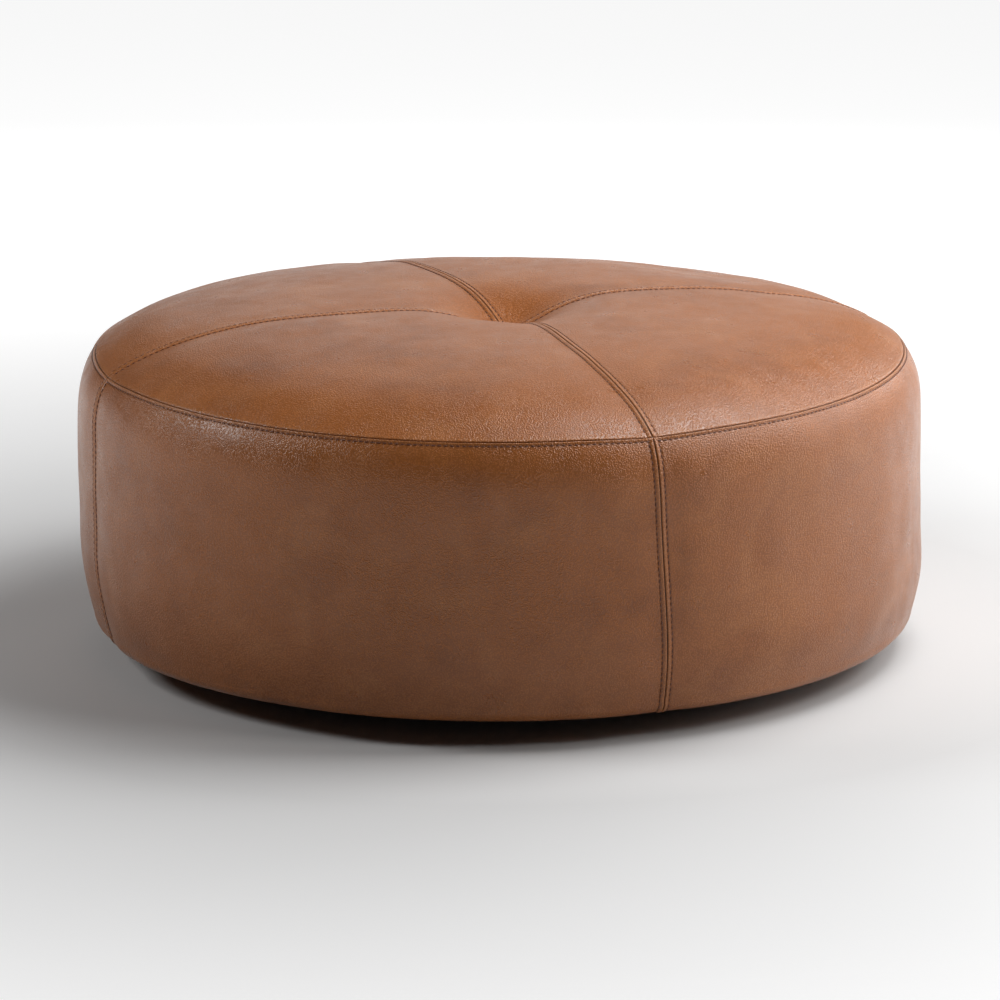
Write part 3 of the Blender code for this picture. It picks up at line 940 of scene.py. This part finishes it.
class OTTOMAN_OT_padding(bpy.types.Operator):
    """The batting and foam under the leather, packed to the same shape"""

    bl_idname = "ottoman.padding"
    bl_label = "Foam and Batting"

    def execute(self, context):
        settings = context.scene.ottoman
        pale, shade = (0.86, 0.86, 0.83), (0.68, 0.68, 0.65)
        batting = fibre_material("polyester_batting", pale, shade, 260.0, 0.95, 0.9 * MM)
        foam = foam_material()
        theta = np.linspace(0, FULL_TURN, 240, endpoint=False)[None, :]
        hoop = spokes(theta)
        hole, edge = 14 * MM, RIM_RADIUS - 7 * MM
        valley = settings.valley_depth

        def under_top(r, depth):
            """The top's shape, moved straight down."""
            points = top_point(theta, r[:, None], valley)
            points[..., 2] -= depth
            return points

        def in_wall(down, depth):
            """The wall's shape, moved straight in."""
            points = wall_point(theta, down[:, None], valley)
            return points - depth[..., None] * hoop if np.ndim(depth) else points - depth * hoop

        out_r = np.linspace(hole, edge, 90)
        cover = under_top(out_r, 0)
        fluff = 0.35 * MM * waves(cover, 26 * MM, 11)
        cover[..., 2] -= LEATHER_ROOM + np.abs(fluff)
        low = BATTING + 2 * MM
        base = under_top(out_r, low)
        self.add("padding_top_batting", np.concatenate([cover, base[::-1]]), batting, ["top_batting"], 0.8)

        seat = under_top(out_r, low + 0.4 * MM)
        shoulder = np.linspace(16 * MM, np.interp(DECK_TOP + 4 * MM, WALL_Z[::-1], WALL_DISTANCE[::-1]), 30)
        flank = in_wall(shoulder, FOAM_ROOM)
        flat = np.linspace(1, hole / (RIM_RADIUS + 8 * MM), 30)[1:, None, None]
        floor = flank[-1:] * flat
        floor[..., 2] = DECK_TOP + 4 * MM
        self.add("padding_seat_foam", np.concatenate([seat, flank, floor]), foam, ["seat_foam"], 0.9)

        down = np.linspace(12 * MM, 288 * MM, 90)
        fluff = 0.3 * MM * waves(in_wall(down, 0.0), 24 * MM, 12)
        outer = in_wall(down, LEATHER_ROOM + np.abs(fluff))
        inner = in_wall(down, 8.2 * MM)
        self.add("padding_side_batting", np.concatenate([outer, inner[::-1]]), batting, ["side_batting"], 0.8)

        up = np.array([0, 0, 1.0])
        belt_top = DECK_TOP + 3.6 * MM
        down = np.linspace(np.interp(belt_top, WALL_Z[::-1], WALL_DISTANCE[::-1]), 286 * MM, 60)
        outer = in_wall(down, FOAM_ROOM)
        inner_r = RING_RADIUS + 4.6 * MM
        toe = np.linspace(WALL_R[-1] + 45 * MM, inner_r, 6)[:, None, None] * hoop + BELT_FOOT * up
        back = inner_r * hoop + np.linspace(BELT_FOOT, belt_top, 30)[1:, None, None] * up
        self.add("padding_side_foam", np.concatenate([outer, toe, back]), foam, ["side_foam"], 0.9)
        return {"FINISHED"}

    @staticmethod
    def add(name, points, material, replaced, fill):
        piece = add_piece(closed_ring(name, points), material, replaced)


class OTTOMAN_OT_webbing(bpy.types.Operator):
    """The eight webbing straps woven over and under across the deck ring"""

    bl_idname = "ottoman.webbing"
    bl_label = "Webbing"

    def execute(self, context):
        yarn, shade, stripe = (0.50, 0.37, 0.22), (0.22, 0.15, 0.08), (0.20, 0.05, 0.03)
        jute = weave_material("jute_webbing", yarn, shade, 2.2 * MM, 0.95, stripe)
        for way in ("long", "cross"):
            for number in range(1, 5):
                low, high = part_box(f"{way}_strap_{number}")
                along_x = way == "long"
                length = high.x - low.x if along_x else high.y - low.y
                middle = (low + high) / 2
                across = middle.y if along_x else middle.x
                u = np.linspace(-length / 2, length / 2, 160)[:, None]
                v = np.linspace(-STRAP_WIDTH / 2, STRAP_WIDTH / 2, 17)[None, :]
                sign = (-1) ** (number - 1)
                inside = smooth((235 * MM - np.abs(u)) / (25 * MM))
                wave = sign * STRAP_WAVE * np.cos(math.pi * (u / STRAP_PITCH - 0.5)) * inside
                height = DECK_TOP + 1.85 * MM + wave + 0 * v
                fray = 0.4 * MM * np.sin(u / (3.1 * MM)) * (np.abs(v) > 29 * MM)
                side = across + v + np.sign(v) * fray
                along = u + 0 * v
                points = np.stack([along, side, height] if along_x else [side, along, height], axis=-1)
                if not along_x:
                    points = points[:, ::-1]
                mesh = grid_mesh(f"webbing_{way}_{number}", points[:, ::-1])
                piece = add_piece(mesh, jute, [f"{way}_strap_{number}"], 1.5 * MM)
        return {"FINISHED"}


class OTTOMAN_OT_tufting(bpy.types.Operator):
    """The plied twine and the tab that pull the middle of the top down"""

    bl_idname = "ottoman.tufting"
    bl_label = "Tufting Twine"

    def execute(self, context):
        low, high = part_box("tufting_twine")
        nylon = fibre_material("nylon_twine", (0.66, 0.60, 0.48), (0.42, 0.36, 0.26), 900.0, 0.55, 0.2 * MM)
        tape = weave_material("cotton_tape", (0.80, 0.76, 0.66), (0.52, 0.47, 0.38), 1.0 * MM, 0.9)
        thick = (high.x - low.x) / 2
        loop = (high.y - low.y) / 2 - thick
        turn = np.linspace(0, math.pi, 40)
        run = np.linspace(0, 1, 120, endpoint=False)[1:]
        top, bottom = high.z - thick - loop, low.z + thick + loop
        bend, rise = loop * np.cos(turn), loop * np.sin(turn)
        y = np.concatenate([bend, -loop + 0 * run, -bend, loop + 0 * run])
        drop = (bottom - top) * run
        z = np.concatenate([top + rise, top + drop, bottom - rise, bottom - drop])
        path = np.stack([0 * y, y, z], axis=-1)
        share = (path[:, 2:] - low.z) / (high.z - low.z)
        path += share * (TUFT_SHIFT + np.array([0, 0, -TUFT_SINK]))
        mesh = closed_ring("twine_tufting", plied_cord(path, 0.86 * thick, 12, 3, 42))
        add_piece(mesh, nylon, ["tufting_twine"])

        low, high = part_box("pull_tab")
        wide, reach = high.y, high.x
        knots = [(-reach, high.z - 0.7 * MM), (-4.4 * MM, high.z - 0.7 * MM), (-3.2 * MM, high.z - 2.4 * MM)]
        knots += [(-3.0 * MM, low.z + 3.5 * MM), (-1.6 * MM, low.z + 1.1 * MM)]
        knots = np.array(knots + [(-x, z) for x, z in reversed(knots)])
        share = np.linspace(0, len(knots) - 1, 60)
        x, z = (np.interp(share, np.arange(len(knots)), knots[:, i]) for i in (0, 1))
        v = np.linspace(-wide, wide, 9)
        points = np.stack(np.broadcast_arrays(x[:, None], v[None, :], z[:, None]), axis=-1)
        points = points + TUFT_SHIFT + np.array([0, 0, -TUFT_SINK])
        mesh = grid_mesh("tape_pull_tab", points[:, ::-1])
        add_piece(mesh, tape, ["pull_tab"], 0.8 * MM)
        return {"FINISHED"}


class OTTOMAN_OT_underside(bpy.types.Operator):
    """The stapled dust cover below, and the staples that hold the turned-in leather"""

    bl_idname = "ottoman.underside"
    bl_label = "Dust Cover"

    def execute(self, context):
        low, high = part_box("dust_cover")
        radius = high.x
        black, shade = (0.030, 0.030, 0.032), (0.010, 0.010, 0.011)
        cambric = weave_material("black_cambric", black, shade, 1.3 * MM, 0.9)
        u = np.linspace(-1, 1, 150)
        u, v = np.meshgrid(u, u, indexing="ij")
        x, y = radius * u * np.sqrt(1 - v**2 / 2), radius * v * np.sqrt(1 - u**2 / 2)
        r, theta = np.hypot(x, y), np.arctan2(y, x)
        near_edge = smooth((r - 330 * MM) / (45 * MM)) * smooth((radius - r) / (6 * MM))
        puckers = 0.25 * MM * np.cos(30 * theta) * near_edge
        sag = 0.6 * MM * smooth((200 * MM - r) / (150 * MM))
        points = np.stack([x, y, low.z - sag - 0.3 * MM + puckers], axis=-1)
        mesh = grid_mesh("cambric_dust_cover", points)
        piece = add_piece(mesh, cambric, ["dust_cover"], 0.35 * MM)

        bright, shade = (0.62, 0.62, 0.63), (0.45, 0.45, 0.47)
        steel = hard_material("staple_wire", bright, shade, 0.38, 1.0, 1200.0, 0.05 * MM)
        rows = (
            ("cover", radius - 8 * MM, 60, low.z - 0.6 * MM),
            ("leather", 394 * MM, 72, UNDERSIDE - 0.9 * MM),
        )
        for name, reach, count, height in rows:
            angle = (np.arange(count) + 0.5) * FULL_TURN / count
            angle = angle + 0.012 * np.sin(7.3 * np.arange(count))
            centres = reach * spokes(angle) + np.array([0, 0, height])
            around = spokes(angle + 0.25 * np.sin(3.7 * np.arange(count)) + QUARTER)
            down = np.tile(np.array([0.0, 0.0, -1.0]), (count, 1))
            mesh = spindles(f"staples_{name}", centres, around, down, 11 * MM, 1.1 * MM)
            add_piece(mesh, steel)
        return {"FINISHED"}


class OTTOMAN_OT_frame(bpy.types.Operator):
    """The finishes of the wooden frame, its screws and the feet"""

    bl_idname = "ottoman.frame"
    bl_label = "Frame Finishes"

    def execute(self, context):
        board = (0.40, 0.27, 0.16), (0.26, 0.17, 0.09)
        zinc = (0.66, 0.64, 0.58), (0.50, 0.48, 0.44)
        black = (0.022, 0.022, 0.023), (0.035, 0.035, 0.036)
        finishes = {
            "ring": wood_material("birch_plywood", (0.62, 0.45, 0.27), (0.42, 0.27, 0.14), plies=True),
            "post": wood_material("sawn_pine", (0.66, 0.48, 0.28), (0.48, 0.30, 0.15)),
            "batten": wood_material("batten_pine", (0.62, 0.44, 0.25), (0.45, 0.28, 0.14)),
            "skirt": fibre_material("fibre_board", *board, 400.0, 0.85, 0.15 * MM),
            "screw": hard_material("zinc_screw", *zinc, 0.34, 1.0, 900.0, 0.05 * MM),
            "foot": hard_material("black_plastic", *black, 0.48, 0.0, 700.0, 0.12 * MM),
        }
        for name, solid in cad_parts.items():
            if solid.hide_render:
                continue
            kinds = [kind for kind in finishes if kind in name]
            if not kinds:
                raise RuntimeError(f"{name} has no finish")
            kind = "screw" if "screw" in kinds else kinds[0]
            solid.data.materials.clear()
            solid.data.materials.append(finishes[kind])
        return {"FINISHED"}


class OTTOMAN_OT_stage(bpy.types.Operator):
    """The pale floor, the softboxes and the camera"""

    bl_idname = "ottoman.stage"
    bl_label = "Studio"

    def execute(self, context):
        settings = context.scene.ottoman
        half = FLOOR_HALF
        corners = [[[-half, half, 0], [half, half, 0]], [[-half, -half, 0], [half, -half, 0]]]
        mesh = grid_mesh("studio_floor", np.array(corners))
        mesh.materials.append(floor_material())
        ground = bpy.data.objects.new("studio_floor", mesh)
        context.scene.collection.objects.link(ground)

        world = bpy.data.worlds.new("studio_air")
        world.use_nodes = True
        air = world.node_tree.nodes["Background"]
        air.inputs["Color"].default_value = (1.0, 1.0, 1.0, 1.0)
        air.inputs["Strength"].default_value = WORLD_STRENGTH
        context.scene.world = world
        context.scene.view_settings.view_transform = "Standard"

        turn = Matrix.Rotation(CAMERA_AZIMUTH, 3, "Z")
        for name, direction, distance, width, power in SOFTBOXES:
            lamp = bpy.data.lights.new(name, "AREA")
            lamp.shape = "SQUARE"
            lamp.size = width
            lamp.energy = power * settings.light_level
            box = bpy.data.objects.new(name, lamp)
            context.scene.collection.objects.link(box)
            back = (turn @ Vector(direction)).normalized()
            box.location = back * distance + SOFTBOX_AIM
            box.rotation_mode = "QUATERNION"
            box.rotation_quaternion = back.to_track_quat("Z", "Y")

        camera = bpy.data.objects.new("camera", bpy.data.cameras.new("camera"))
        context.scene.collection.objects.link(camera)
        context.scene.camera = camera
        a, e = CAMERA_AZIMUTH, CAMERA_ELEVATION
        back = Vector((math.sin(a) * math.cos(e), -math.cos(a) * math.cos(e), math.sin(e)))
        camera.location = CAMERA_CENTRE + back * CAMERA_DISTANCE
        sight = CAMERA_AIM - camera.location
        camera.rotation_mode = "QUATERNION"
        roll = Matrix.Rotation(CAMERA_ROLL, 4, sight).to_quaternion()
        camera.rotation_quaternion = roll @ sight.to_track_quat("-Z", "Y")
        camera.data.lens = CAMERA_LENS
        camera.data.clip_end = 100.0
        return {"FINISHED"}


class OTTOMAN_PT_panel(bpy.types.Panel):
    """Builds the ottoman's pieces one by one"""

    bl_label = "Round Ottoman"
    bl_idname = "OTTOMAN_PT_panel"
    bl_space_type = "VIEW_3D"
    bl_region_type = "UI"
    bl_category = "Ottoman"

    def draw(self, context):
        settings = context.scene.ottoman
        for name in OttomanSettings.__annotations__:
            self.layout.prop(settings, name)
        for made in OPERATORS:
            self.layout.operator(made.bl_idname)


OPERATORS = (
    OTTOMAN_OT_top,
    OTTOMAN_OT_side,
    OTTOMAN_OT_thread,
    OTTOMAN_OT_padding,
    OTTOMAN_OT_webbing,
    OTTOMAN_OT_tufting,
    OTTOMAN_OT_underside,
    OTTOMAN_OT_frame,
    OTTOMAN_OT_stage,
)
CLASSES = (OttomanSettings, *OPERATORS, OTTOMAN_PT_panel)


def register():
    for each in CLASSES:
        bpy.utils.register_class(each)
    bpy.types.Scene.ottoman = PointerProperty(type=OttomanSettings)


def unregister():
    del bpy.types.Scene.ottoman
    for each in reversed(CLASSES):
        bpy.utils.unregister_class(each)


def main():
    """Builds every piece in order."""
    register()
    bpy.ops.ottoman.top()
    bpy.ops.ottoman.side()
    bpy.ops.ottoman.thread()
    bpy.ops.ottoman.padding()
    bpy.ops.ottoman.webbing()
    bpy.ops.ottoman.tufting()
    bpy.ops.ottoman.underside()
    bpy.ops.ottoman.frame()
    bpy.ops.ottoman.stage()


if __name__ == "__main__":
    main()
